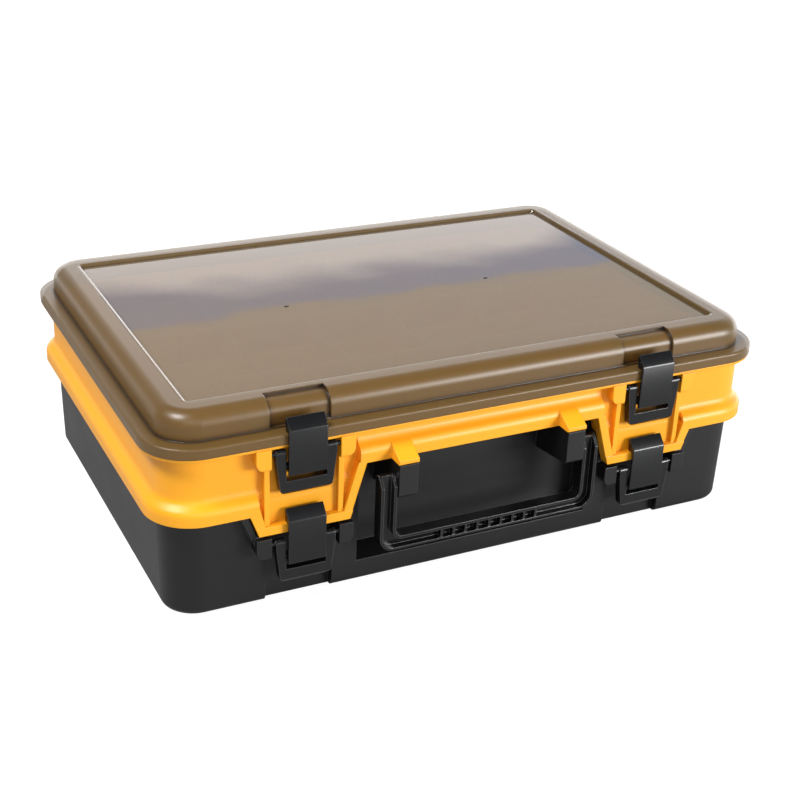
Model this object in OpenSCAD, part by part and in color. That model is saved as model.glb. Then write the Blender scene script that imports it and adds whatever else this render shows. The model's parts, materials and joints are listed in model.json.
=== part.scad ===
// Two-tier fishing tackle cabinet: a deep lower case, a divided upper tray that
// closes it, and a smoke lid that closes the tray. Both covers swing on hinge
// pins at the back and are held by two draw latches each at the front.
// Origin at the middle of the underside, front towards -Y, +Z up.

/* [Outline] */
// Width over the flange of the lid
body_w = 380; // [350:1:420]
// Depth over the flange of the lid
body_d = 262; // [245:1:290]
// Corner radius of that flange, seen from above
corner_r = 28.5; // [26:0.5:34]
// Thickness of the moulded walls
wall = 2.4; // [2:0.1:2.8]

/* [Heights] */
// Height of the rim of the lower case
case_h = 66; // [62:1:74]
// How far the skirt of the tray hangs below that rim
skirt_lap = 7; // [6:0.5:8]
// Height of the tray wall above the rim of the case
tray_h = 36; // [34:1:42]
// Depth of the compartments in the tray
tray_depth = 21; // [17:1:23]
// Height of the lid from the lower edge of its flange to its crown
lid_h = 21.2; // [19:0.1:24]
// Height of the lid's flange
flange_h = 6; // [5:0.5:7]

/* [Front] */
// Distance of a latch from the middle of the front
latch_x = 108.1; // [104:0.1:112]
// How far the latch tabs hang below the skirt
tab_drop = 12.5; // [11:0.5:14]
// How far the arch over the handle rises above the skirt
arch_rise = 19.3; // [18:0.1:20]
// Half width of that arch at its top
arch_half_w = 72.5; // [70:0.5:74]
// Depth of the latch bays in the lower case
bay_depth = 5; // [4:0.5:9]
// Depth of the handle recess in the lower case
recess_depth = 15; // [10:0.5:18]
// Height of the sill below the handle recess
sill_h = 13.5; // [10:0.5:17]

/* [Handle] */
// Half width of the handle, over its legs
handle_half_w = 67.9; // [66:0.1:69]
// Width of a leg of the handle
leg_w = 9.3; // [8.4:0.1:9.6]
// Thickness of the handle from front to back
handle_t = 8; // [7:0.5:9]
// Height of the grip bar
bar_h = 8.4; // [7:0.1:10]
// Distance from the pivot down to the lower edge of the bar
handle_drop = 42; // [40:0.5:46]
// Width of the rims round the hollow front of the handle
rim_w = 1.7; // [1.2:0.1:2.2]
// Depth of that hollow
hollow_d = 4; // [2:0.5:5]
// Number of pockets between the ribs in the bar
pocket_count = 8; // [4:1:9]

/* [Latches] */
// Width of a latch lever, over the tops of its arms
lever_w = 34; // [32:0.5:36]
// How much each arm draws in at its lower end
lever_taper = 2.1; // [0:0.1:2.6]
// Thickness of a lever from front to back
lever_t = 5; // [4.6:0.1:5.4]
// Width of a hook plate
hook_w = 21.5; // [20:0.1:22.5]
// Thickness of a hook plate
hook_t = 2; // [1.8:0.1:2.6]
// Height of the lip that a hook pulls on, above the pivot of its lever
latch_reach = 11.3; // [10.8:0.1:12]
// Gap between a hook plate and the edge that it hooks over
hook_gap = 0.6; // [0.4:0.1:1]

/* [Hinges] */
// Distance of a hinge from the middle of the back
hinge_x = 107.3; // [90:0.1:120]
// Width of a hinge, over its knuckles
hinge_w = 44; // [36:1:52]
// Radius of the knuckles
knuckle_r = 3; // [2.6:0.1:3.4]
// Radius of the steel hinge pins
pin_r = 1.25; // [1:0.05:1.5]

/* [Dividers] */
// Thickness of a removable divider
divider_t = 1.6; // [1.2:0.1:2.2]
// Distance between neighbouring divider slots
slot_pitch = 27; // [24:0.1:27.5]
// Place of the first slot, from the middle
slot_first = -154; // [-160:1:-145]
// Middle of the front one of the two long walls
front_wall_y = -49; // [-60:1:-40]
// Middle of the rear one of the two long walls
rear_wall_y = 23.3; // [15:0.1:35]

/* [Hidden] */
$fn = 64;

black = "#303134";
yellow = "#ffb836";
smoke = "#7a6548";
steel = "silver";

fit = 0.3;        // gap between pieces that seat on each other
play = 0.05;      // radial play of every pin in its bore
over = 1;         // how far a cut runs past the face that it opens
root = 0.6;       // how far an added form is rooted in its wall
through = 60;     // length of a cut that runs right through a latch piece

// Insets are measured inwards from the outline of the lid's flange.
skirt_i = 1.4;                    // outer face of the tray's skirt
lip_i = 0.8;                      // edge of the lip round the tray's rim
wall_i = 6.9;                     // outer face of the tray's wall
tray_in = wall_i + wall;          // inner face of the tray's wall
pocket_i = 5.6;                   // back of the latch pockets
pocket_back = pocket_i + 2.1;     // their hidden rear face
case_i = pocket_back + 0.6;       // outer face of the case at its rim
case_draft = 1.3;                 // how far the case draws in at its base
frame_i = 8.4;                    // foot of the lid's raised frame
panel_i = corner_r - 1.9;         // inner edge of that frame

// Heights of the levels where the shells meet
skirt_z = case_h - skirt_lap;
seat_z = case_h + fit;
tray_top = case_h + tray_h;
lip_top = tray_top - 3.5;
lip_t = 1.6;
flange_z = lip_top + fit;
flange_top = flange_z + flange_h;
lid_top = flange_z + lid_h;
panel_z = lid_top - 2;
floor_z = tray_top - tray_depth;
floor_t = 2;
arch_z = skirt_z + arch_rise;
tab_z = skirt_z - tab_drop;
ledge_z = tab_z + 5;

front_y = -body_d / 2;
back_y = body_d / 2;
half_x = body_w / 2 - corner_r;
half_y = body_d / 2 - corner_r;

// Points along an arc from angle a0 to a1
function arc(c, r, a0, a1, n = 6) =
    [for (k = [0:n]) c + r * [cos(a0 + (a1 - a0) * k / n), sin(a0 + (a1 - a0) * k / n)]];

function backwards(pts) = [for (k = [len(pts) - 1:-1:0]) pts[k]];

// The skirt's shoulder: from the upright face at inset i0, out of which it
// leaves at height z0, in to the upright face at inset i1
shoulder_turn = 60;
function shoulder_rise(i0, i1) = 2 * (i1 - i0) * sin(shoulder_turn);
function shoulder(i0, i1, z0) =
    let (r = i1 - i0, z1 = z0 + shoulder_rise(i0, i1))
    concat(arc([i0 + r, z0], r, 180, 180 - shoulder_turn, 5),
           arc([i1 - r, z1], r, -shoulder_turn, 0, 5));
band_h = 4.8;     // upright band below the shoulder

// Sweeps a closed profile of [inset, z] points round the outline
module swept(profile) {
    pts = [for (p = profile) [corner_r - p[0], p[1]]];
    for (sx = [-1, 1], sy = [-1, 1])
        translate([sx * half_x, sy * half_y, 0])
            rotate(sx > 0 ? (sy > 0 ? 0 : -90) : (sy > 0 ? 90 : 180))
                rotate_extrude(angle = 90) polygon(pts);
    for (side = [[0, half_x, half_y], [90, half_y, half_x], [180, half_x, half_y], [270, half_y, half_x]])
        rotate(side[0])
            translate([side[1], side[2], 0])
                rotate([90, 0, 0])
                    linear_extrude(2 * side[2]) polygon(pts);
}

// Flat plate with the rounded outline, drawn in by an inset
module plate(inset, z0, z1) {
    r = corner_r - inset;
    translate([0, 0, z0]) linear_extrude(z1 - z0) {
        square([body_w - 2 * inset, 2 * half_y], center = true);
        square([2 * half_x, body_d - 2 * inset], center = true);
        for (sx = [-1, 1], sy = [-1, 1]) translate([sx * half_x, sy * half_y]) circle(r);
    }
}

// Extrudes [y, z] points along X, from x0 to x1
module along_x(x0, x1, pts) {
    translate([x0, 0, 0]) rotate([90, 0, 90]) linear_extrude(x1 - x0) polygon(pts);
}

// Extrudes [x, z] points along Y, from y0 to y1
module along_y(y0, y1, pts) {
    translate([0, y1, 0]) rotate([90, 0, 0]) linear_extrude(y1 - y0) polygon(pts);
}

// Box between two corners
module block(a, b) {
    translate(a) cube(b - a);
}

// Round rod along X, from x0 to x1
module rod(x0, x1, y, z, r) {
    translate([x0, y, z]) rotate([0, 90, 0]) cylinder(r = r, h = x1 - x0);
}

// Repeats a right-hand form on the left
module both_sides() {
    children();
    mirror([1, 0, 0]) children();
}

// ---------------------------------------------------------------- latches

// Latch sizes are [y, z] places measured from the pivot of the lever.
pivot_in = 2;                          // pivot behind the face of the flange
pivot_y = front_y + pivot_in;
upper_z = flange_top - latch_reach;
lower_z = ledge_z - latch_reach;
lever_pin_r = 1.3;
lever_drop = 23.8;                     // lower edge of the lever
bar_top = -16;                         // upper edge of its finger bar
hook_pin = [0, -8.3];                  // where the hook hangs on the lever
hook_pin_r = 1.3;
hook_boss_r = 2.2;
hook_side = 0.8;                       // gap between the plate and an arm
hook_back = -pivot_in - hook_gap;      // rear face of the hook plate
hook_front = hook_back - hook_t;
hook_low = -12;                        // lower edge of the plate
hook_edge = latch_reach + 2.5;         // where the plate starts to lean in
hook_slope = 1.1;                      // rise of that lean to its run
hook_tip = -pivot_in - fit;            // rear face of the hook's lip
ear_gap = lever_w + 5;                 // clear width between two ears
ear_w = 8.3;
ear_r = 5.5;
stub = 2.6;                            // how far a pin runs into its ear

module at_latch(level, side) {
    translate([side * latch_x, pivot_y, level]) children();
}

// U-shaped lever: two arms, a finger bar and a pin stub on either side
module latch_lever() {
    half = lever_w / 2;
    arm_in = hook_w / 2 + hook_side;
    foot = [[-lever_t / 2, 1.6 - lever_drop], [1.4 - lever_t / 2, -lever_drop],
            [lever_t / 2 - 1, -lever_drop], [lever_t / 2, 1.4 - lever_drop]];
    color(black) difference() {
        union() {
            both_sides() {
                along_x(arm_in, half, concat(arc([0, 0], lever_t / 2, 0, 180, 12), foot));
                rod(half - root, ear_gap / 2 + stub, 0, 0, lever_pin_r);
            }
            along_x(-arm_in - root, arm_in + root,
                concat([[lever_t / 2, bar_top], [-lever_t / 2, bar_top]], foot));
        }
        both_sides()
            rod(arm_in - over, hook_w / 2 + 3.6, hook_pin[0], hook_pin[1], hook_pin_r + play);
        both_sides() lever_corner(half);
    }
}

// What is cut off the side of a lever: the taper of the arm and a rounded corner
lever_corner_r = 3.5;
module lever_corner(half) {
    x = half - lever_taper;
    z = lever_corner_r - lever_drop;
    rotate([90, 0, 0])
        linear_extrude(through, center = true) difference() {
            polygon([
                [half + over, -3], [half, -3], [x, z], [x - lever_corner_r, z],
                [x - lever_corner_r, -lever_drop - over], [half + over, -lever_drop - over]]);
            translate([x - lever_corner_r, z]) circle(lever_corner_r);
        }
}

// Hook plate: leans in over its lip, and hangs on two stubs between the arms
module latch_hook() {
    half = hook_w / 2;
    top = hook_edge + hook_slope * (hook_tip - hook_front);
    side = concat(
        [[hook_front, hook_low + 0.5]],
        arc([hook_front + 1.2, hook_edge - 0.5], 1.2, 180, 135, 3),
        [[hook_tip - 0.3, top - 0.2], [hook_tip, top - 0.5],
         [hook_tip, latch_reach + fit], [hook_back, latch_reach + fit],
         [hook_back, hook_low], [hook_front + 0.5, hook_low]]);
    color(black) {
        along_x(-half, half, side);
        along_x(-half, half, [
            [hook_back - root, hook_pin[1] - hook_boss_r], [hook_pin[0], hook_pin[1] - hook_boss_r],
            [hook_pin[0], hook_pin[1] + hook_boss_r], [hook_back - root, hook_pin[1] + hook_boss_r]]);
        rod(-half, half, hook_pin[0], hook_pin[1], hook_boss_r);
        rod(-half - 3.3, half + 3.3, hook_pin[0], hook_pin[1], hook_pin_r);
    }
}

// Pair of ears either side of a lever, each with a blind bore for its stub.
// rear is where they are rooted, measured from the pivot.
module latch_ears(top, low, rear) {
    inner = ear_gap / 2;
    front = -lever_pin_r - play - 0.9;
    difference() {
        both_sides() difference() {
            along_x(inner, inner + ear_w, concat(
                [[rear, low + 1], [rear, top], [front, top]],
                arc([front + 1.5, low + 1.5], 1.5, 180, 270, 4)));
            // rounded lower outer corner
            translate([inner + ear_w - ear_r, 0, low + ear_r])
                rotate([90, 0, 0])
                    linear_extrude(through, center = true) difference() {
                        translate([0, -ear_r - over]) square(ear_r + over);
                        circle(ear_r);
                    }
        }
        rod(-inner - stub - fit, inner + stub + fit, 0, 0, lever_pin_r + play);
    }
}

// ---------------------------------------------------------------- hinges

lid_axis = [back_y + knuckle_r + fit, flange_z];
tray_axis = [back_y - skirt_i + knuckle_r + 0.6, skirt_z - knuckle_r - 1.2];
mid_w = hinge_w / 3;                   // width of the middle knuckle

// The two outer knuckles of a hinge with their bracket
module outer_knuckles(axis, bracket) {
    for (x0 = [-hinge_w / 2, mid_w / 2 + fit])
        translate([x0, 0, 0]) knuckle(hinge_w / 2 - mid_w / 2 - fit, axis, bracket);
}

module knuckle(w, axis, bracket) {
    difference() {
        union() {
            rod(0, w, axis[0], axis[1], knuckle_r);
            along_x(0, w, bracket);
        }
        rod(-over, w + over, axis[0], axis[1], pin_r + play);
    }
}

module hinge_pin(axis) {
    color(steel) rod(0.4 - hinge_w / 2, hinge_w / 2 - 0.4, axis[0], axis[1], pin_r);
}

module at_hinges() {
    for (side = [-1, 1]) translate([side * hinge_x, 0, 0]) children();
}

// ---------------------------------------------------------------- lower case

base_r = 4;
base_t = 2.6;
bay_half = ear_gap / 2;
recess_half = arch_half_w + 1.5;
case_front = front_y + case_i + case_draft;   // front face near the base
recess_y = case_front + recess_depth;
boss_w = 11;                                  // width of a handle boss
boss_x = handle_half_w - leg_w - 0.7 - boss_w / 2;   // and its middle
handle_y = front_y - 3.5;                     // pivot of the handle
handle_z = arch_z - 10.3;
handle_pin_r = 2.5;
boss_front = handle_y - 4.9;
pad_gap = 0.8;                                // gap between a tab and the pad beside it

function case_face(z) = front_y + case_i + case_draft * (case_h - z) / case_h;

module lower_case() {
    low_i = case_i + case_draft;
    shell = concat(
        [[low_i + base_r + 4, 0]],
        arc([low_i + base_r, base_r], base_r, 270, 180, 6),
        [[case_i, case_h], [case_i + wall, case_h],
         [low_i + wall, base_t], [low_i + base_r + 4, base_t]]);
    color(black) difference() {
        union() {
            swept(shell);
            plate(low_i + base_r + 2, 0, base_t);
            recess_box();
            for (side = [-1, 1]) translate([side * latch_x, 0, 0]) bay_box();
            both_sides() handle_boss();
            for (side = [-1, 1]) at_latch(lower_z, side)
                latch_ears(4.6, -7.8, case_i - pivot_in + root + 0.4);
            both_sides() ear_pad();
            at_hinges() outer_knuckles(tray_axis, case_bracket());
        }
        recess_cut();
        for (side = [-1, 1]) translate([side * latch_x, 0, 0]) bay_cut();
        both_sides() rod(boss_x, boss_x + boss_w / 2 + over, handle_y, handle_z, handle_pin_r + play);
    }
}

function case_bracket() = [
    [back_y - case_i - wall / 2, tray_axis[1] - 9],
    [tray_axis[0], tray_axis[1] - knuckle_r],
    [tray_axis[0], tray_axis[1] + knuckle_r],
    [back_y - case_i - wall / 2, tray_axis[1] + knuckle_r]
];

// Walls round the handle recess. Above the rim they stand inside the tray.
module recess_box() {
    outer = recess_half + wall;
    y_in = recess_y + wall;
    top = floor_z - floor_t - fit;
    block([-outer, case_face(0) + wall / 2, sill_h - wall], [outer, y_in, case_h]);
    block([-outer, front_y + case_i + wall + 2.2, case_h - over], [outer, y_in, top]);
}

module recess_cut() {
    top = floor_z - floor_t - fit + over;
    difference() {
        along_x(-recess_half, recess_half, [
            [front_y, sill_h], [case_front, sill_h], [recess_y, sill_h + 3],
            [recess_y, top], [front_y, top]]);
        both_sides() handle_boss();
    }
}

// Boss that carries a leg of the handle, under the cover on the tray
module handle_boss() {
    along_x(boss_x - boss_w / 2, boss_x + boss_w / 2, [
        [recess_y + wall / 2, handle_z - 14], [boss_front + 1.6, handle_z - 9.8],
        [boss_front, handle_z - 8.2], [boss_front, arch_z - fit],
        [recess_y + wall / 2, arch_z - fit]]);
}

// Raised pad that runs from the outer ear of a latch up along the tray's tab
module ear_pad() {
    ear = latch_x + ear_gap / 2;
    x = ear + stub + over;
    along_y(front_y + 3, front_y + case_i + root, [
        [x, lower_z], [ear + ear_w, lower_z],
        [latch_x + tab_out_top + 5, skirt_z - 0.6], [latch_x + tab_out_top + pad_gap, skirt_z - 0.6],
        [latch_x + tab_out_low + pad_gap, tab_z - pad_gap], [x, tab_z - pad_gap]]);
}

// Walls round a latch bay, and the bay itself
module bay_box() {
    outer = bay_half + wall;
    block([-outer, case_face(0) + wall / 2, base_t - 1], [outer, case_front + bay_depth + wall, case_h]);
}

module bay_cut() {
    along_x(-bay_half, bay_half, [
        [front_y, -over], [case_front + bay_depth, -over],
        [case_front + bay_depth, skirt_z - 6], [case_face(skirt_z), skirt_z + 0.4],
        [front_y, skirt_z + 0.4]]);
}

// ---------------------------------------------------------------- upper tray

rib_w = 3;                             // upright rib beside a latch
border_w = 5;                          // raised border round a latch tab
tab_in_low = 26.1;                     // foot of the border, towards the middle
tab_out_low = 25.9;                    // and away from it
tab_out_top = 30.6;
slot_d = 0.7;                          // depth of a divider slot
slots = [for (k = [0:11]) slot_first + k * slot_pitch];
long_wall = 2.6;

module upper_tray() {
    rim = concat(
        [[skirt_i, skirt_z]],
        shoulder(skirt_i, wall_i, skirt_z + band_h),
        [[wall_i, lip_top - lip_t], [lip_i, lip_top - lip_t], [lip_i, lip_top],
         [wall_i, lip_top], [wall_i, tray_top], [tray_in, tray_top],
         [tray_in, seat_z + 3.4], [case_i + wall + 0.4, seat_z + 2],
         [case_i + wall + 0.4, seat_z], [skirt_i + wall, seat_z], [skirt_i + wall, skirt_z]]);
    color(yellow) difference() {
        union() {
            difference() {
                union() {
                    swept(rim);
                    both_sides() arch_rib();
                }
                arch_cut();
                for (side = [-1, 1]) scale_x(side) pocket_cut();
            }
            plate(wall_i + wall / 2, floor_z - floor_t, floor_z);
            for (y = [front_wall_y, rear_wall_y])
                block([-half_x - corner_r + tray_in - root, y - long_wall / 2, floor_z - root],
                      [half_x + corner_r - tray_in + root, y + long_wall / 2, tray_top - 1]);
            arch_lip();
            both_sides() boss_cover();
            both_sides() latch_tab();
            for (side = [-1, 1]) at_latch(upper_z, side)
                latch_ears(lip_top - lip_t + 0.4 - upper_z, -8.4, wall_i - pivot_in + root);
            at_hinges() outer_knuckles(lid_axis, tray_bracket());
            at_hinges() translate([-mid_w / 2, 0, 0]) knuckle(mid_w, tray_axis, skirt_bracket());
        }
        divider_slots();
    }
}

// Brackets that join the knuckles to the tray: under its lip and on its skirt
function tray_bracket() = [
    [back_y - wall_i - root, lid_axis[1] - 12],
    [lid_axis[0] + knuckle_r * 0.7, lid_axis[1] - knuckle_r * 0.7],
    [lid_axis[0], lid_axis[1]],
    [lid_axis[0] - knuckle_r, lip_top],
    [back_y - wall_i - root, lip_top]
];
function skirt_bracket() = [
    [back_y - skirt_i - root, skirt_z],
    [tray_axis[0] - knuckle_r, tray_axis[1]],
    [tray_axis[0] + knuckle_r, tray_axis[1]],
    [back_y - skirt_i - root, skirt_z + 9]
];

module scale_x(side) {
    if (side > 0) children();
    else mirror([1, 0, 0]) children();
}

// Opening of the front over the handle, between the slanted tabs
module arch_cut() {
    low = arch_half_w + (latch_x - tab_in_low - arch_half_w) * (arch_z - tab_z + over) / (arch_z - tab_z);
    along_y(front_y - over, front_y + tray_in + 6, [
        [-arch_half_w, arch_z], [arch_half_w, arch_z],
        [low, tab_z - over], [-low, tab_z - over]]);
}

// Rib behind the wall at each end of the arch: it closes the gap beside the
// recess of the case
module arch_rib() {
    block([arch_half_w, front_y + tray_in - root, seat_z + 1],
          [arch_half_w + 12, front_y + case_i + wall + 0.4, floor_z - floor_t + root]);
}

// Flared moulding over the arch, with the same section as the skirt
module arch_lip() {
    flare = concat([[skirt_i, arch_z]], shoulder(skirt_i, wall_i, arch_z + band_h));
    top = flare[len(flare) - 1];
    along_x(-arch_half_w - 4, arch_half_w + 4, concat(
        [for (p = flare) [front_y + p[0], p[1]]],
        [[front_y + wall_i + root, top[1]], [front_y + wall_i + root, arch_z]]));
}

// Cover that stands out over a handle boss
module boss_cover() {
    front = boss_front;
    along_x(boss_x - boss_w / 2 - 0.4, boss_x + boss_w / 2 + 0.4, [
        [front_y + wall_i + root, arch_z], [front + 0.6, arch_z], [front, arch_z + 0.6],
        [front, arch_z + 2.6], [front_y + wall_i, arch_z + 11], [front_y + wall_i + root, arch_z + 11]]);
}

// Outline of the right-hand latch tab, as [x, z]
function tab_outline() = [
    [latch_x - tab_in_low, tab_z], [latch_x + tab_out_low, tab_z],
    [latch_x + tab_out_top, skirt_z], [latch_x + tab_out_top, arch_z],
    [arch_half_w, arch_z]
];

// Clears the skirt from in front of the pocket
module pocket_cut() {
    along_y(front_y - over, front_y + pocket_i, [
        [arch_half_w - over, tab_z], [latch_x + tab_out_top - border_w, tab_z],
        [latch_x + tab_out_top - border_w, skirt_z + band_h + shoulder_rise(skirt_i, wall_i)],
        [arch_half_w - over, skirt_z + band_h + shoulder_rise(skirt_i, wall_i)]]);
}

// Latch tab: a thin back, raised borders, ribs beside the lever and the ledge
// that the lower hook pulls on
module latch_tab() {
    x_in = latch_x - tab_in_low;
    x_out = latch_x + tab_out_low;
    inner = latch_x - ear_gap / 2 - rib_w;
    outer = latch_x + ear_gap / 2 + rib_w;
    fade = skirt_z + band_h + shoulder_rise(skirt_i, wall_i);
    face = front_y + skirt_i;
    rear = front_y + pocket_back;
    intersection() {
        along_x(arch_half_w, latch_x + tab_out_top, [
            [front_y + pocket_i, tab_z], [front_y + pocket_i, skirt_z + band_h],
            [front_y + wall_i, fade], [rear, fade], [rear, tab_z]]);
        along_y(front_y, front_y + tray_in, tab_outline());
    }
    along_y(face, rear, [
        [x_in, tab_z], [x_in + border_w, tab_z],
        [arch_half_w + border_w, arch_z + 1], [arch_half_w, arch_z + 1]]);
    along_y(face, rear, [
        [x_out - border_w, tab_z], [x_out, tab_z], [latch_x + tab_out_top, skirt_z],
        [latch_x + tab_out_top, skirt_z + band_h], [latch_x + tab_out_top - border_w, skirt_z + band_h]]);
    along_y(front_y + 0.9, rear, [
        [x_in, tab_z], [x_out, tab_z],
        [x_out + (tab_out_top - tab_out_low) * 0.4, ledge_z],
        [x_in - (x_in - arch_half_w) * (ledge_z - tab_z) / (arch_z - tab_z), ledge_z]]);
    for (x = [inner, outer - rib_w])
        block([x, front_y + 2.8, tab_z + 1], [x + rib_w, front_y + wall_i + root, upper_z - 8]);
}

// Slots that hold the removable dividers, in both sides of every row
module divider_slots() {
    w = divider_t + 2 * 0.25;
    for (x = slots, row = rows()) {
        block([x - w / 2, row[0] - slot_d, floor_z], [x + w / 2, row[0] + over, tray_top + over]);
        block([x - w / 2, row[1] - over, floor_z], [x + w / 2, row[1] + slot_d, tray_top + over]);
    }
}

// Front and rear limit of each row of compartments
function rows() = [
    [front_y + tray_in, front_wall_y - long_wall / 2],
    [front_wall_y + long_wall / 2, rear_wall_y - long_wall / 2],
    [rear_wall_y + long_wall / 2, back_y - tray_in]
];

front_slots = [1, 4, 7, 10];
middle_slots = [2, 4, 6, 8, 10];
rear_slots = [2, 5, 8];

// Removable divider: a thin plate with a finger scoop in its top edge
module divider(row, slot) {
    y0 = rows()[row][0] - slot_d + fit;
    y1 = rows()[row][1] + slot_d - fit;
    z0 = floor_z + fit;
    z1 = tray_top - 2.5;
    scoop_r = 14;
    color(yellow) difference() {
        block([slots[slot] - divider_t / 2, y0, z0], [slots[slot] + divider_t / 2, y1, z1]);
        rod(slots[slot] - divider_t, slots[slot] + divider_t, (y0 + y1) / 2, z1 + scoop_r - 4, scoop_r);
    }
}

// ---------------------------------------------------------------- lid

frame_r = 8.5;
panel_t = 2.2;
frame_draft = 0.3;
notch_half = 17;
notch_d = 2;                           // depth of a latch notch in the frame
notch_i = 20.3;                        // where its rear wall stands

// Roll of the raised frame at a depth below its surface
function frame_roll(depth, n = 14) =
    arc([frame_i + frame_draft + frame_r, lid_top - frame_r], frame_r - depth, 180, 90, n);

module lid() {
    skin = concat(
        [[0, flange_z], [0, flange_top - 1], [0.4, flange_top - 0.3], [1.1, flange_top]],
        [[frame_i, flange_top]], frame_roll(0),
        [[panel_i - 1.9, lid_top], [panel_i - 1.1, lid_top - 0.3], [panel_i, panel_z],
         [panel_i + 1.2, panel_z], [panel_i + 1.2, panel_z - panel_t]],
        backwards(frame_roll(panel_t, 10)),
        [[frame_i + panel_t, flange_top - panel_t], [panel_t, flange_top - panel_t], [panel_t, flange_z]]);
    color(smoke) difference() {
        union() {
            swept(skin);
            plate(panel_i + 0.8, panel_z - panel_t, panel_z);
            for (side = [-1, 1]) translate([side * latch_x, 0, 0]) notch_walls();
            at_hinges() translate([-mid_w / 2, 0, 0]) knuckle(mid_w, lid_axis, lid_bracket());
        }
        for (side = [-1, 1]) translate([side * latch_x, 0, 0]) notch_cut();
    }
}

function lid_bracket() = [
    [back_y - wall / 2, flange_z], [lid_axis[0], lid_axis[1]],
    [lid_axis[0], lid_axis[1] + knuckle_r], [back_y - wall / 2, lid_axis[1] + knuckle_r + 1]
];

// The roll is set in behind an upper hook, with walls of the same thickness
module notch_walls() {
    inside = notch_d + panel_t;
    foot = flange_top - panel_t + 0.2;
    skin = concat(
        [[frame_i + root, foot]], frame_roll(root),
        [[notch_i + panel_t, lid_top - root], [notch_i + panel_t, lid_top - inside]],
        backwards(frame_roll(inside)), [[frame_i + inside, foot]]);
    along_x(-notch_half - panel_t, notch_half + panel_t, [for (p = skin) [front_y + p[0], p[1]]]);
}

module notch_cut() {
    outside = concat(
        [[frame_i + notch_d, flange_top + 0.8]], frame_roll(notch_d),
        [[notch_i, lid_top - notch_d], [notch_i, lid_top + over],
         [frame_i - over, lid_top + over], [frame_i - over, flange_top + 0.8]]);
    along_x(-notch_half, notch_half, [for (p = outside) [front_y + p[0], p[1]]]);
}

// ---------------------------------------------------------------- handle

// U-shaped handle, hanging folded in front of its recess. Its front is hollow
// between two rims, with ribs across the hollow in the middle of the bar.
handle_corner_r = 9;
fillet_r = 4;
rib_pitch = 7.5;
bar_rib_w = 1.2;

module carry_handle() {
    inner = handle_half_w - leg_w;
    front = handle_y - handle_t / 2 - 0.1;
    rear = front + handle_t;
    low = handle_z - handle_drop;
    side = [
        [front, handle_z - 2.6], [front, low + 0.8], [front + 0.8, low], [rear - 1.2, low],
        [rear, low + 1.2], [rear, handle_z + 1.9], [rear - 1.5, handle_z + 3.4],
        [front + 4.6, handle_z + 3.4], [front + 3.4, handle_z + 2.6]];
    color(black) {
        difference() {
            intersection() {
                u_form(front, rear, 0);
                along_x(-handle_half_w - over, handle_half_w + over, side);
            }
            u_form(front - over, front + hollow_d, rim_w);
        }
        both_sides() rod(boss_x + fit, inner + root, handle_y, handle_z, handle_pin_r);
        for (k = [0:pocket_count])
            translate([(k - pocket_count / 2) * rib_pitch - bar_rib_w / 2, front + 0.3, low + rim_w - root])
                cube([bar_rib_w, hollow_d + root, bar_h - 2 * rim_w + 2 * root]);
    }
}

// The U of the handle between two depths, drawn in on all its edges by an inset
module u_form(y0, y1, inset) {
    low = handle_z - handle_drop;
    translate([0, y1, 0]) rotate([90, 0, 0]) linear_extrude(y1 - y0) difference() {
        rounded_foot(handle_half_w - inset, low + inset, handle_corner_r - inset);
        rounded_foot(handle_half_w - leg_w + inset, low + bar_h - inset, fillet_r + inset);
    }
}

// Tall area with its two lower corners rounded
module rounded_foot(half, z, r) {
    top = handle_z + 6;
    translate([-half, z + r]) square([2 * half, top - z - r]);
    translate([r - half, z]) square([2 * (half - r), r + root]);
    for (sx = [-1, 1]) translate([sx * (half - r), z + r]) circle(r);
}

// ---------------------------------------------------------------- assembly

lower_case();
upper_tray();
lid();
carry_handle();
for (s = [["left", -1], ["right", 1]]) {
    translate([s[1] * hinge_x, 0, 0]) hinge_pin(tray_axis);
    translate([s[1] * hinge_x, 0, 0]) hinge_pin(lid_axis);
    at_latch(lower_z, s[1]) latch_lever();
    at_latch(lower_z, s[1]) latch_hook();
    at_latch(upper_z, s[1]) latch_lever();
    at_latch(upper_z, s[1]) latch_hook();
}
for (r = [["front", 0, front_slots], ["middle", 1, middle_slots], ["rear", 2, rear_slots]])
    for (k = [0:len(r[2]) - 1])
        divider(r[1], r[2][k]);
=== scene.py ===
# %% [markdown]
# # A fishing tackle cabinet in moulded plastic
# The real cabinet is a case and a tray of injection-moulded polypropylene under a brown lid.
# Its solids come ready made, so this lesson dresses them: it gives every plastic its colour,
# gloss and mould texture, makes the latch hooks whole, sets the light of a product
# photograph, and puts the camera where the photographer stood.

# %% Load the solids
import json
import math

import bmesh
import bpy
from mathutils import Matrix, Vector


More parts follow.
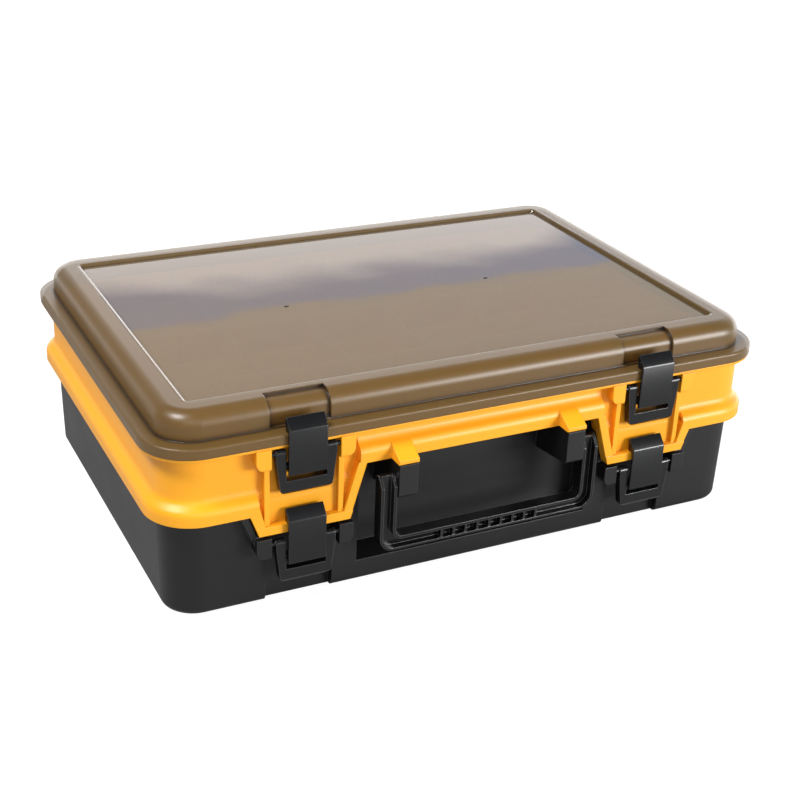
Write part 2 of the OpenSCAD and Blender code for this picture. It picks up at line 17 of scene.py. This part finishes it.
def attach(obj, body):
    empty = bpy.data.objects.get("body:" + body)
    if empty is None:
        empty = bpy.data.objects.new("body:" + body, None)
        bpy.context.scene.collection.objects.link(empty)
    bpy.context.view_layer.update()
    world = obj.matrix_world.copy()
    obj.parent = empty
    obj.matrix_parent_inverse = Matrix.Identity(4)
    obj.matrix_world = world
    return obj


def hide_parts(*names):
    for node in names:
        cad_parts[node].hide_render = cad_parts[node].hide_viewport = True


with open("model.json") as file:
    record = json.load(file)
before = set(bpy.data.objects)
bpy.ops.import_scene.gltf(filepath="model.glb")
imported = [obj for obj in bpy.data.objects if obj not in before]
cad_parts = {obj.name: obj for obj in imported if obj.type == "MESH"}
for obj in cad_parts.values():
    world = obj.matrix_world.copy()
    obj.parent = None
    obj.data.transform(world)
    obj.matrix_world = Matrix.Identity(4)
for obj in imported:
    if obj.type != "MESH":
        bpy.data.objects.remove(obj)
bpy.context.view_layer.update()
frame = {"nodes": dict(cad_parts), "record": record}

# %% [markdown]
# ## The camera
# The photograph was taken from the front left, a little above the lid, with a short telephoto
# lens. A camera is easiest to describe as a photographer would: where it looks, from which
# side, how high and how far. A small roll and a small shift of the lens complete it. The
# numbers come from matching the corners of the lid and of the base to the photograph.

# %% Place the camera
MM = 0.001
SENSOR_MM = 36.0
FRAME_PX = 800
NEAREST_SEEN = 10 * MM

azimuth = math.radians(-26.207)
elevation = math.radians(24.786)
roll = math.radians(2.066)
distance = 911.2 * MM
focal_px = 1447.4
focus = Vector((0, 0, 60 * MM))
axis_px = Vector((385.47, 377.755))

towards_camera = Vector((math.sin(azimuth) * math.cos(elevation),
                         -math.cos(azimuth) * math.cos(elevation),
                         math.sin(elevation)))
camera = bpy.data.objects.new("camera", bpy.data.cameras.new("camera"))
bpy.context.collection.objects.link(camera)
aim = (-towards_camera).to_track_quat("-Z", "Y").to_matrix().to_4x4()
stand = Matrix.Translation(focus + towards_camera * distance)
camera.matrix_world = stand @ aim @ Matrix.Rotation(roll, 4, "Z")
camera.data.sensor_width = SENSOR_MM
camera.data.lens = focal_px / FRAME_PX * SENSOR_MM
camera.data.shift_x = (FRAME_PX / 2 - axis_px.x) / FRAME_PX
camera.data.shift_y = (axis_px.y - FRAME_PX / 2) / FRAME_PX
camera.data.clip_start = NEAREST_SEEN
bpy.context.scene.camera = camera
print("lens:", round(camera.data.lens, 1), "mm, distance:", round(distance, 3), "m")

# %% [markdown]
# ## Colours and nodes
# Colours are written as the hex values that a picture shows. Blender mixes light in linear
# values, so one function converts them. One more function adds a node and links its sockets,
# which keeps each material short enough to read as a recipe.
#
# A Mix node can mix numbers or colours, and it keeps the sockets of both in one list. Their
# places in that list get names here, so that a recipe doesn't have to say 6 or 7.


# %% Helpers for materials
MIX_FACTOR = 0
NUMBER_A, NUMBER_B, MIXED_NUMBER = 2, 3, 0
COLOUR_A, COLOUR_B, MIXED_COLOUR = 6, 7, 2


def srgb(code):
    """Linear colour of a hex value such as 'ffb737'."""
    values = [int(code[k:k + 2], 16) / 255 for k in (0, 2, 4)]
    linear = [v / 12.92 if v <= 0.04045 else ((v + 0.055) / 1.055) ** 2.4 for v in values]
    return (*linear, 1.0)


def add_node(owner, kind, links=None, **settings):
    """Adds a node. Settings name its properties or input sockets, and links its linked inputs."""
    node = owner.node_tree.nodes.new(kind)
    for name, value in settings.items():
        if hasattr(node, name):
            setattr(node, name, value)
        else:
            node.inputs[name.replace("_", " ")].default_value = value
    for name, source in (links or {}).items():
        owner.node_tree.links.new(source, node.inputs[name])
    return node


def new_material(name, **settings):
    """A material with one Principled shader, whose sockets are set by name."""
    material = bpy.data.materials.new(name)
    material.use_nodes = True
    shader = material.node_tree.nodes["Principled BSDF"]
    for socket, value in settings.items():
        shader.inputs[socket.replace("_", " ")].default_value = value
    return material, shader


print("hex 808080 in linear light:", round(srgb("808080")[0], 3))

# %% [markdown]
# ## How moulded plastic looks
# A steel mould is etched with a fine grain, so the plastic leaves it satin, and the etching
# hides small scratches. Where a corner was rounded or rubbed, the grain is thinner and the
# edge shines. Three things give that in Blender: a small bump from a noise texture for the
# grain, a second, larger noise that makes the gloss uneven, and a mask of the edges, which
# makes them glossier and paints them a lighter colour, a painted highlight. The Bevel node
# returns a normal as if every edge were rounded. Where it differs from the true normal there
# is an edge, so the same node rounds the edges and marks them.
#
# The grain of such a mould is about 0.3 mm across. A pixel of this picture is 0.6 mm wide, so
# the grain is drawn at 0.9 mm, the finest that still shows.

# %% Moulded plastic
GRAIN = 0.9 * MM
GRAIN_STRENGTH = 0.6
CLOUD = 35 * MM
GLOSS_SPREAD = 0.05
EDGE_RADIUS = 0.7 * MM
BEVEL_SAMPLES = 6
# How far the rounded normal turns from the true one, as 1 less the cosine, where an edge
# begins and where it is whole.
EDGE_BEGINS = 0.02
EDGE_IS_WHOLE = 0.25
POLYPROPYLENE_IOR = 1.49


def object_place(material):
    """The place of a point on the object, in metres, for textures that stay with the piece."""
    return add_node(material, "ShaderNodeTexCoord").outputs["Object"]


def rounded_normal(material, radius):
    """The normal as if every edge had been rounded to the radius."""
    bevel = add_node(material, "ShaderNodeBevel", samples=BEVEL_SAMPLES, Radius=radius)
    return bevel.outputs["Normal"]


def edge_mask(material, rounded):
    """Runs from 0 on a flat face to 1 on an edge."""
    true_normal = add_node(material, "ShaderNodeNewGeometry").outputs["True Normal"]
    agree = add_node(material, "ShaderNodeVectorMath", {0: rounded, 1: true_normal},
                     operation="DOT_PRODUCT")
    return add_node(material, "ShaderNodeMapRange", {"Value": agree.outputs["Value"]},
                    From_Min=1.0 - EDGE_BEGINS, From_Max=1.0 - EDGE_IS_WHOLE).outputs["Result"]


def moulded_plastic(name, colour, edge_highlight_colour, roughness, edge_roughness, grain_height,
                    ior=POLYPROPYLENE_IOR):
    """Satin moulded plastic with grain, uneven gloss, and polished edges with a painted highlight.
    """
    material, shader = new_material(name, IOR=ior)
    place = object_place(material)
    grain = add_node(material, "ShaderNodeTexNoise", {"Vector": place}, Scale=1 / GRAIN, Detail=3.0)
    cloud = add_node(material, "ShaderNodeTexNoise", {"Vector": place}, Scale=1 / CLOUD, Detail=4.0)
    rounded = rounded_normal(material, EDGE_RADIUS)
    edge = edge_mask(material, rounded)

    satin = add_node(material, "ShaderNodeMapRange", {"Value": cloud.outputs["Fac"]},
                     To_Min=roughness - GLOSS_SPREAD, To_Max=roughness + GLOSS_SPREAD)
    gloss = add_node(material, "ShaderNodeMix",
                     {MIX_FACTOR: edge, NUMBER_A: satin.outputs["Result"]})
    gloss.inputs[NUMBER_B].default_value = edge_roughness
    # Painted highlight: the edges get a lighter colour than the faces.
    shade = add_node(material, "ShaderNodeMix", {MIX_FACTOR: edge}, data_type="RGBA")
    shade.inputs[COLOUR_A].default_value = srgb(colour)
    shade.inputs[COLOUR_B].default_value = srgb(edge_highlight_colour)
    bump = add_node(material, "ShaderNodeBump", {"Height": grain.outputs["Fac"], "Normal": rounded},
                    Distance=grain_height, Strength=GRAIN_STRENGTH)

    link = material.node_tree.links.new
    link(gloss.outputs[MIXED_NUMBER], shader.inputs["Roughness"])
    link(shade.outputs[MIXED_COLOUR], shader.inputs["Base Color"])
    link(bump.outputs["Normal"], shader.inputs["Normal"])
    return material


print("grain:", round(GRAIN / MM, 2), "mm, edges rounded to", round(EDGE_RADIUS / MM, 2), "mm")

# %% [markdown]
# ## Black and yellow polypropylene
# Polypropylene is the usual plastic of tool cases: tough, a little waxy, with an IOR of 1.49.
# The case, the latches and the handle are the same black, but the handle and the latches come
# from polished moulds, so they are glossier and have less grain. The yellow is mixed into the
# plastic, so it has no coat, and its shadows turn orange because light passes from wall to
# wall. An edge mirrors more of the room than a face does, so each plastic's edge colour is
# painted a shade lighter: a painted highlight.

# %% The coloured plastics
# The second colour of each plastic is the painted highlight on its edges.
black_case = moulded_plastic("black_polypropylene", "0c0c0d", "39393b",
                             roughness=0.42, edge_roughness=0.3, grain_height=0.03 * MM)
black_latch = moulded_plastic("black_latch_polypropylene", "0c0d0f", "55565a",
                              roughness=0.24, edge_roughness=0.2, grain_height=0.012 * MM)
black_handle = moulded_plastic("black_handle_polypropylene", "0a0a0b", "5a5a5a",
                               roughness=0.24, edge_roughness=0.18, grain_height=0.006 * MM)
yellow = moulded_plastic("yellow_polypropylene", "f2a51a", "f8b22e",
                         roughness=0.4, edge_roughness=0.32, grain_height=0.02 * MM)
coloured = (black_case, black_latch, black_handle, yellow)
print("coloured plastics:", [plastic.name for plastic in coloured])

# %% [markdown]
# ## Smoke plastic
# The lid is clear polystyrene with a brown dye. It could be made with transmission, which
# bends light, but a thin shell hardly bends it, and transmission would leave the tray dark.
# So the lid uses alpha: a share of the light passes straight through, and the rest meets a
# brown, glossy surface. The near face of a wall does all of that, and its far face is left
# clear, because two faces that each let a little through make a grainy picture. The flat
# panel is thinner than the frame, so it lets more through and its brown is paler.
#
# In the groove between the flange and the raised frame the eye looks along the plastic and
# shade falls there, so a deep brown is painted into it as painted shade. The Ambient Occlusion
# node finds such inner corners from the shape alone. A sharp edge bends the light away, so the
# edge mask paints a thin dark line along it, also painted shade. Where this painted shade
# lies, the wall lets less light through.
#
# The panel and the step round it come from a polished part of the mould, so they mirror the
# room sharply, and a slow ripple bends what they mirror. The frame is satin.

# %% Where the lid is flat and polished
PANEL_HALF_X = 163.0 * MM
PANEL_HALF_Y = 104.0 * MM
PANEL_EDGE = 2.0 * MM
STEP_HALF_X = 166.5 * MM
STEP_HALF_Y = 105 * MM
STEP_EDGE = 0.5 * MM
POLYSTYRENE_IOR = 1.59

smoke, shader = new_material("smoke_polystyrene", IOR=POLYSTYRENE_IOR)
place = object_place(smoke)
axes = add_node(smoke, "ShaderNodeSeparateXYZ", {"Vector": place})
across = {axis: add_node(smoke, "ShaderNodeMath", {0: axes.outputs[axis]},
                         operation="ABSOLUTE").outputs[0]
          for axis in ("X", "Y")}


def within(half_x, half_y, width):
    """Runs from 0 outside a rectangle of the lid to 1 inside it."""
    sides = [add_node(smoke, "ShaderNodeMapRange", {"Value": across[axis]},
                      From_Min=half, From_Max=half - width)
             for axis, half in (("X", half_x), ("Y", half_y))]
    return add_node(smoke, "ShaderNodeMath",
                    {k: side.outputs["Result"] for k, side in enumerate(sides)},
                    operation="MULTIPLY").outputs[0]


panel = within(PANEL_HALF_X, PANEL_HALF_Y, PANEL_EDGE)
polished = within(STEP_HALF_X, STEP_HALF_Y, STEP_EDGE)
print("clear panel:", round(2 * PANEL_HALF_X / MM), "by", round(2 * PANEL_HALF_Y / MM), "mm")

# %% The lid's plastic
GROOVE = 3.5 * MM
GROOVE_SAMPLES = 6
# The share of open space round a point where the painted shade of a groove begins and where it is
# whole.
GROOVE_BEGINS = 0.88
GROOVE_IS_WHOLE = 0.6
LID_EDGE_RADIUS = 0.8 * MM
FRAME_BROWN = "624b24"
PANEL_BROWN = "6a5636"
# The colour of the painted shade in the grooves and along the sharp edges of the lid.
PAINTED_SHADE_BROWN = "120d06"
FRAME_COVER = 0.88
PANEL_COVER = 0.84
SATIN_ROUGHNESS = 0.37
POLISHED_ROUGHNESS = 0.02
RIPPLE = 60 * MM
RIPPLE_HEIGHT = 0.1 * MM

# Painted shade: the groove and the sharp edges are painted a deep brown and let less light through.
open_space = add_node(smoke, "ShaderNodeAmbientOcclusion", samples=GROOVE_SAMPLES,
                      only_local=True, Distance=GROOVE)
painted_groove_shade = add_node(smoke, "ShaderNodeMapRange", {"Value": open_space.outputs["AO"]},
                     From_Min=GROOVE_BEGINS, From_Max=GROOVE_IS_WHOLE).outputs["Result"]
rounded = rounded_normal(smoke, LID_EDGE_RADIUS)
dark = add_node(smoke, "ShaderNodeMath", {0: painted_groove_shade, 1: edge_mask(smoke, rounded)},
                operation="MAXIMUM").outputs[0]

dye = add_node(smoke, "ShaderNodeMix", {MIX_FACTOR: panel}, data_type="RGBA")
dye.inputs[COLOUR_A].default_value = srgb(FRAME_BROWN)
dye.inputs[COLOUR_B].default_value = srgb(PANEL_BROWN)
# The painted shade is mixed into the dye here.
shade = add_node(smoke, "ShaderNodeMix", {MIX_FACTOR: dark, COLOUR_A: dye.outputs[MIXED_COLOUR]},
                 data_type="RGBA")
shade.inputs[COLOUR_B].default_value = srgb(PAINTED_SHADE_BROWN)

wall = add_node(smoke, "ShaderNodeMapRange", {"Value": panel},
                To_Min=FRAME_COVER, To_Max=PANEL_COVER)
cover = add_node(smoke, "ShaderNodeMath", {0: wall.outputs["Result"], 1: dark},
                 operation="MAXIMUM").outputs[0]
far_face = add_node(smoke, "ShaderNodeNewGeometry").outputs["Backfacing"]
alpha = add_node(smoke, "ShaderNodeMix", {MIX_FACTOR: far_face, NUMBER_A: cover})
alpha.inputs[NUMBER_B].default_value = 0.0

gloss = add_node(smoke, "ShaderNodeMapRange", {"Value": polished},
                 To_Min=SATIN_ROUGHNESS, To_Max=POLISHED_ROUGHNESS)
ripple = add_node(smoke, "ShaderNodeTexNoise", {"Vector": place}, Scale=1 / RIPPLE, Detail=1.0)
warp = add_node(smoke, "ShaderNodeBump", {"Height": ripple.outputs["Fac"], "Normal": rounded},
                Distance=RIPPLE_HEIGHT)
for value, socket in ((shade.outputs[MIXED_COLOUR], "Base Color"),
                      (alpha.outputs[MIXED_NUMBER], "Alpha"),
                      (gloss.outputs["Result"], "Roughness"),
                      (warp.outputs["Normal"], "Normal")):
    smoke.node_tree.links.new(value, shader.inputs[socket])
print("nodes in the lid's plastic:", len(smoke.node_tree.nodes))

# %% [markdown]
# ## Steel wire
# The hinge pins are cut from drawn wire. Drawing leaves fine scratches along the wire, which
# is the X axis here. An image of scratches would need mapping round each pin. Noise needs
# none, and stretched along X it gives the same streaks in the gloss.

# %% The hinge pins' steel
SCRATCH = 0.3 * MM
SCRATCH_STRETCH = 25

steel, shader = new_material("drawn_steel_wire", Metallic=1.0, Base_Color=srgb("b4b2ae"))
stretch = add_node(steel, "ShaderNodeMapping", {"Vector": object_place(steel)},
                   Scale=(1 / SCRATCH_STRETCH, 1.0, 1.0))
scratch = add_node(steel, "ShaderNodeTexNoise", {"Vector": stretch.outputs["Vector"]},
                   Scale=1 / SCRATCH)
drawn = add_node(steel, "ShaderNodeMapRange", {"Value": scratch.outputs["Fac"]},
                 To_Min=0.22, To_Max=0.42)
steel.node_tree.links.new(drawn.outputs["Result"], shader.inputs["Roughness"])
print("scratches:", round(SCRATCH / MM, 2), "mm apart,", SCRATCH_STRETCH, "times as long")

# %% [markdown]
# ## Dressing the solids
# The record says which plastic every node is made of. The latches and the handle take their
# own blacks.

# %% Materials on the solids
finish_of_slot = {"black_plastic": black_case, "yellow_plastic": yellow,
                  "smoke_plastic": smoke, "pin_steel": steel}
slot_of_node = {part["node"]: part["material_slot"] for part in frame["record"]["subparts"]}


def finish_of(node):
    """The material of a solid."""
    if node == "carry_handle":
        return black_handle
    if "latch" in node:
        return black_latch
    return finish_of_slot[slot_of_node[node]]


for node, solid in frame["nodes"].items():
    solid.data.materials.clear()
    solid.data.materials.append(finish_of(node))
print("dressed:", len(frame["nodes"]), "solids")

# %% [markdown]
# ## Hook plates
# A latch hook is a plate whose head leans in over the edge that it pulls down, and whose foot
# has a round barrel with two stubs that turn in the lever. The solid stops just in front of
# the edge, so that every joint can move by itself. Here each hook is made whole: a side
# profile, extruded across, with its edges rounded by a Bevel modifier. A profile is the
# natural way, because a mould draws such a hook sideways.

# %% Shape the hook's side
HOOK_WIDTH = 21.5 * MM
BARREL_RADIUS = 2.2
BARREL_HEIGHT = -8.3
STUB_RADIUS = 1.3 * MM
STUB_REACH = 3.3 * MM
STUB_ROOT = 0.5 * MM

# Places (y, z) in millimetres from the lever's pivot, going round the side of the hook: up
# its front, over the leaning head, down its back, round the barrel and along the foot.
HOOK_SIDE = [(-4.6, -12.0), (-4.6, 13.4), (-4.3, 14.1), (0.6, 19.6), (1.3, 19.2), (1.3, 12.2),
             (0.8, 11.6), (-2.6, 11.6), (-2.6, -6.1), (0.0, -6.1)]
HOOK_SIDE += [(BARREL_RADIUS * math.sin(math.radians(turn)),
               BARREL_HEIGHT + BARREL_RADIUS * math.cos(math.radians(turn)))
              for turn in range(15, 180, 15)]
HOOK_SIDE += [(0.0, -10.5), (-2.6, -10.5), (-2.6, -12.0)]
STUB_SIDE = [(STUB_RADIUS * math.sin(math.radians(turn)),
              STUB_RADIUS * math.cos(math.radians(turn)))
             for turn in range(0, 360, 20)]
print("points in the hook's side:", len(HOOK_SIDE))

# %% [markdown]
# Both functions below serve the hooks, and the second one also serves the gate marks. A Bevel
# modifier rounds only what is sharper than a set angle, so the arcs of a profile stay as they
# are.

# %% Extrude and finish a piece
SHARP_EDGE = math.radians(35)
BEVEL_STEPS = 3


def extrude_across(mesh, side, half, centre):
    """Adds a closed solid with the given side profile, from -half to half along X."""
    rings = []
    for x in (-half, half):
        rings.append([mesh.verts.new((centre.x + x, centre.y + y, centre.z + z)) for y, z in side])
    mesh.faces.new(rings[0])
    mesh.faces.new(list(reversed(rings[1])))
    for k in range(len(side)):
        j = (k + 1) % len(side)
        mesh.faces.new((rings[0][j], rings[0][k], rings[1][k], rings[1][j]))


def finish_piece(name, mesh, material, bevel):
    """Turns mesh data into an object with rounded edges and smooth shading."""
    bmesh.ops.recalc_face_normals(mesh, faces=mesh.faces)
    data = bpy.data.meshes.new(name)
    mesh.to_mesh(data)
    mesh.free()
    piece = bpy.data.objects.new(name, data)
    bpy.context.collection.objects.link(piece)
    data.materials.append(material)
    for face in data.polygons:
        face.use_smooth = True
    round_edges = piece.modifiers.new("rounded edges", "BEVEL")
    round_edges.width = bevel
    round_edges.segments = BEVEL_STEPS
    round_edges.limit_method = "ANGLE"
    round_edges.angle_limit = SHARP_EDGE
    round_edges.harden_normals = True
    return piece


print("edges sharper than", round(math.degrees(SHARP_EDGE)), "degrees are rounded")

# %% Make the hook plates
LEVER_PIVOTS = {"upper": 93.5 * MM, "lower": 40.2 * MM}
LATCH_X = 108.1 * MM
PIVOT_Y = -129.0 * MM
HOOK_BEVEL = 0.45 * MM

for level, pivot_z in LEVER_PIVOTS.items():
    for side, sign in (("left", -1), ("right", 1)):
        pivot = Vector((sign * LATCH_X, PIVOT_Y, pivot_z))
        mesh = bmesh.new()
        extrude_across(mesh, [(y * MM, z * MM) for y, z in HOOK_SIDE], HOOK_WIDTH / 2, pivot)
        for end in (-1, 1):
            reach = HOOK_WIDTH / 2 + STUB_REACH / 2 - STUB_ROOT
            stub = pivot + Vector((end * reach, 0, BARREL_HEIGHT * MM))
            extrude_across(mesh, STUB_SIDE, STUB_REACH / 2 + STUB_ROOT, stub)
        plate = finish_piece(f"{level}_hook_plate_{side}", mesh, black_latch, HOOK_BEVEL)
        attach(plate, f"{level}_hook_{side}")
        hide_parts(f"{level}_latch_hook_{side}")
print("hook plates made:", 2 * len(LEVER_PIVOTS))

# %% [markdown]
# ## Gate marks
# Molten plastic enters a mould through small gates. When the lid is broken off its runners, a
# small rough nib stays at each gate. The photograph shows two, as dark specks on the panel. A
# painted speck would stay flat, and a real nib catches the light. So each is a low dome with a
# short tail: three rings of points, one above the other, drawn out at one side and joined by
# faces.

# %% Make the gate marks
GATE_X = 67.5 * MM
PANEL_TOP = 118.0 * MM
GATE_RADIUS = 1.2 * MM
GATE_HEIGHT = 0.5 * MM
GATE_SIDES = 16
GATE_NARROWING = 0.7
GATE_BEVEL = 0.08 * MM
TAIL_LENGTH = 0.9
TAIL_SHARPNESS = 4
# Each ring's share of the radius and of the height. The lowest lies inside the panel.
GATE_RINGS = ((1.0, -0.2), (0.85, 0.55), (0.45, 0.95))

gate_plastic = moulded_plastic("torn_smoke_polystyrene", "16110a", "16110a",
                               roughness=0.5, edge_roughness=0.5, grain_height=0.03 * MM,
                               ior=POLYSTYRENE_IOR)
for side, sign in (("left", -1), ("right", 1)):
    mesh = bmesh.new()
    rings = []
    for share, height in GATE_RINGS:
        ring = []
        for k in range(GATE_SIDES):
            turn = 2 * math.pi * k / GATE_SIDES
            tail = 1.0 + TAIL_LENGTH * max(0.0, math.cos(turn)) ** TAIL_SHARPNESS
            ring.append(mesh.verts.new((sign * GATE_X + GATE_RADIUS * share * tail * math.cos(turn),
                                        GATE_NARROWING * GATE_RADIUS * share * math.sin(turn),
                                        PANEL_TOP + GATE_HEIGHT * height)))
        rings.append(ring)
    for lower, upper in zip(rings, rings[1:]):
        for k in range(GATE_SIDES):
            j = (k + 1) % GATE_SIDES
            mesh.faces.new((lower[k], lower[j], upper[j], upper[k]))
    mesh.faces.new(rings[-1])
    mesh.faces.new(list(reversed(rings[0])))
    mark = finish_piece(f"gate_mark_{side}", mesh, gate_plastic, GATE_BEVEL)
    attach(mark, "lid")
print("gate marks made: 2")

# %% [markdown]
# ## Lamps
# On glossy plastic a lamp is seen as its own mirror image, so the lamps stand where the
# photograph's highlights mirror them. A low key at the front right draws the light line along
# the lid's front roll and leaves the tops of the hooks dark. A lamp at the left gives the
# bright spot on the near corner, and a weak one in front fills the black fronts. Large soft
# boxes keep every highlight wide.

# %% Three soft boxes
LAMP_TARGET = (0, 0, 0.05)
# Each lamp's place and size in metres, and its power in watts.
LAMPS = {"key": ((1.15, -1.6, 0.4), (0.9, 0.6), 37),
         "left": ((-0.82, -0.23, 1.2), (0.5, 0.35), 20),
         "front": ((-0.5, -1.7, 1.0), (1.2, 0.7), 6)}

for name, (stand, size, power) in LAMPS.items():
    light = bpy.data.lights.new(name, "AREA")
    light.shape = "RECTANGLE"
    light.size, light.size_y = size
    light.energy = power
    lamp = bpy.data.objects.new(name, light)
    bpy.context.collection.objects.link(lamp)
    lamp.location = stand
    towards_target = Vector(LAMP_TARGET) - Vector(stand)
    lamp.rotation_euler = towards_target.to_track_quat("-Z", "Y").to_euler()
print("lamps:", len(LAMPS))

# %% [markdown]
# ## The room in the lid
# The photograph's lid mirrors a room: a bright strip at its rear, a blue-grey band below it
# with a soft, hilly outline, and a straight line where the brown front begins. Walls could be
# built for that, but the mirrored room is out of focus, so bands of colour in the world do the
# same. Behind the case they follow the slope of a ray, its height over its depth, because
# lines of equal slope are the level lines of a far wall. From the table up they are a white
# backdrop, a row of windows, the wall and the ceiling. Noise shifts the line between windows
# and wall, and makes the hills.
#
# The room is bright behind the case at the right and dim elsewhere: the lid then mirrors
# light, and the black front stays black.

# %% The room
# Linear colours, most of them above 1, because the bands are brighter than white paper.
BACKDROP = (4.0, 4.0, 4.0, 1.0)
WINDOWS = (2.5, 2.5, 2.6, 1.0)
WALL = (0.8, 1.08, 1.6, 1.0)
CEILING = (1.25, 1.25, 1.25, 1.0)
# The slopes between which one band turns into the next, the lower band first.
BACKDROP_TO_WINDOWS = (0.22, 0.38)
WINDOWS_TO_WALL = (0.43, 0.45)
WALL_TO_CEILING = (0.434, 0.439)
HILL_HEIGHT = 0.06
HILLS_ACROSS = 5.0
LEAST_DEPTH = 0.05
# The bright side is behind and to the right. The room's strength runs from dim to full
# between these two shares of the way towards it.
BRIGHT_SIDE = (0.7, 0.7, 0)
DIM_UNTIL = 0.55
FULL_FROM = 0.8
DIM = 0.15

world = bpy.data.worlds.new("studio")
bpy.context.scene.world = world
world.use_nodes = True
background = world.node_tree.nodes["Background"]
direction = add_node(world, "ShaderNodeTexCoord").outputs["Generated"]
axes = add_node(world, "ShaderNodeSeparateXYZ", {"Vector": direction})
facing = add_node(world, "ShaderNodeVectorMath", {0: direction}, operation="DOT_PRODUCT")
facing.inputs[1].default_value = BRIGHT_SIDE
strength = add_node(world, "ShaderNodeMapRange", {"Value": facing.outputs["Value"]},
                    From_Min=DIM_UNTIL, From_Max=FULL_FROM, To_Min=DIM, To_Max=1.0)
world.node_tree.links.new(strength.outputs["Result"], background.inputs["Strength"])

depth = add_node(world, "ShaderNodeMath", {0: axes.outputs["Y"]}, operation="MAXIMUM")
depth.inputs[1].default_value = LEAST_DEPTH
slope = add_node(world, "ShaderNodeMath", {0: axes.outputs["Z"], 1: depth.outputs[0]},
                 operation="DIVIDE").outputs[0]
hills = add_node(world, "ShaderNodeTexNoise", {"Vector": direction},
                 Scale=HILLS_ACROSS, Detail=2.0).outputs["Fac"]
ridge = add_node(world, "ShaderNodeMath", {0: hills, 2: slope}, operation="MULTIPLY_ADD")
ridge.inputs[1].default_value = HILL_HEIGHT
print("bands in the room: backdrop, windows, wall, ceiling")


# %% Stack the bands
def below(height, band):
    """Runs from 0 above a band between two slopes to 1 below it."""
    low, high = band
    return add_node(world, "ShaderNodeMapRange", {"Value": height},
                    From_Min=high, From_Max=low).outputs["Result"]


def above(height, band):
    """Runs from 0 below a band between two slopes to 1 above it."""
    low, high = band
    return add_node(world, "ShaderNodeMapRange", {"Value": height},
                    From_Min=low, From_Max=high).outputs["Result"]


bright = add_node(world, "ShaderNodeMix", {MIX_FACTOR: below(slope, BACKDROP_TO_WINDOWS)},
                  data_type="RGBA")
bright.inputs[COLOUR_A].default_value = WINDOWS
bright.inputs[COLOUR_B].default_value = BACKDROP
with_wall = add_node(world, "ShaderNodeMix",
                     {MIX_FACTOR: below(ridge.outputs[0], WINDOWS_TO_WALL),
                      COLOUR_B: bright.outputs[MIXED_COLOUR]}, data_type="RGBA")
with_wall.inputs[COLOUR_A].default_value = WALL
with_ceiling = add_node(world, "ShaderNodeMix",
                        {MIX_FACTOR: above(slope, WALL_TO_CEILING),
                         COLOUR_A: with_wall.outputs[MIXED_COLOUR]}, data_type="RGBA")
with_ceiling.inputs[COLOUR_B].default_value = CEILING
world.node_tree.links.new(with_ceiling.outputs[MIXED_COLOUR], background.inputs["Color"])
print("nodes in the world:", len(world.node_tree.nodes))

# %% [markdown]
# ## Table
# The photograph's table is over-exposed to pure white, while the black case still mirrors it
# as a pale grey. One glow can't do both, so the paper glows more for the camera than for the
# surfaces that mirror it, and more on the bright side of the room. Cycles would aim many rays
# at so large a lamp. The rays that bounce to it by themselves are enough, and less grainy.

# %% Table
TABLE_HALF = 6
TABLE_GAP = 0.5 * MM
SEEN_GLOW = 0.9
# How far towards the bright side, in metres, the mirrored glow begins and stops to rise.
GLOW_BEGINS = 0.15
GLOW_IS_WHOLE = 0.8
NEAR_GLOW = 0.18
FAR_GLOW = 3.5

table = bmesh.new()
bmesh.ops.create_grid(table, x_segments=1, y_segments=1, size=TABLE_HALF)
table_mesh = bpy.data.meshes.new("table")
table.to_mesh(table_mesh)
table.free()
floor = bpy.data.objects.new("table", table_mesh)
floor.location.z = -TABLE_GAP
bpy.context.collection.objects.link(floor)

paper, shader = new_material("white_paper", Base_Color=srgb("8c8c8c"), Roughness=0.9,
                             Emission_Color=srgb("ffffff"))
seen = add_node(paper, "ShaderNodeLightPath").outputs["Is Camera Ray"]
away = add_node(paper, "ShaderNodeVectorMath", {0: object_place(paper)}, operation="DOT_PRODUCT")
away.inputs[1].default_value = BRIGHT_SIDE
mirrored = add_node(paper, "ShaderNodeMapRange", {"Value": away.outputs["Value"]},
                    From_Min=GLOW_BEGINS, From_Max=GLOW_IS_WHOLE,
                    To_Min=NEAR_GLOW, To_Max=FAR_GLOW)
glow = add_node(paper, "ShaderNodeMix", {MIX_FACTOR: seen, NUMBER_A: mirrored.outputs["Result"]})
glow.inputs[NUMBER_B].default_value = SEEN_GLOW
paper.node_tree.links.new(glow.outputs[MIXED_NUMBER], shader.inputs["Emission Strength"])
paper.cycles.emission_sampling = "NONE"
table_mesh.materials.append(paper)
bpy.context.scene.view_settings.view_transform = "Standard"
print("table:", 2 * TABLE_HALF, "m wide")
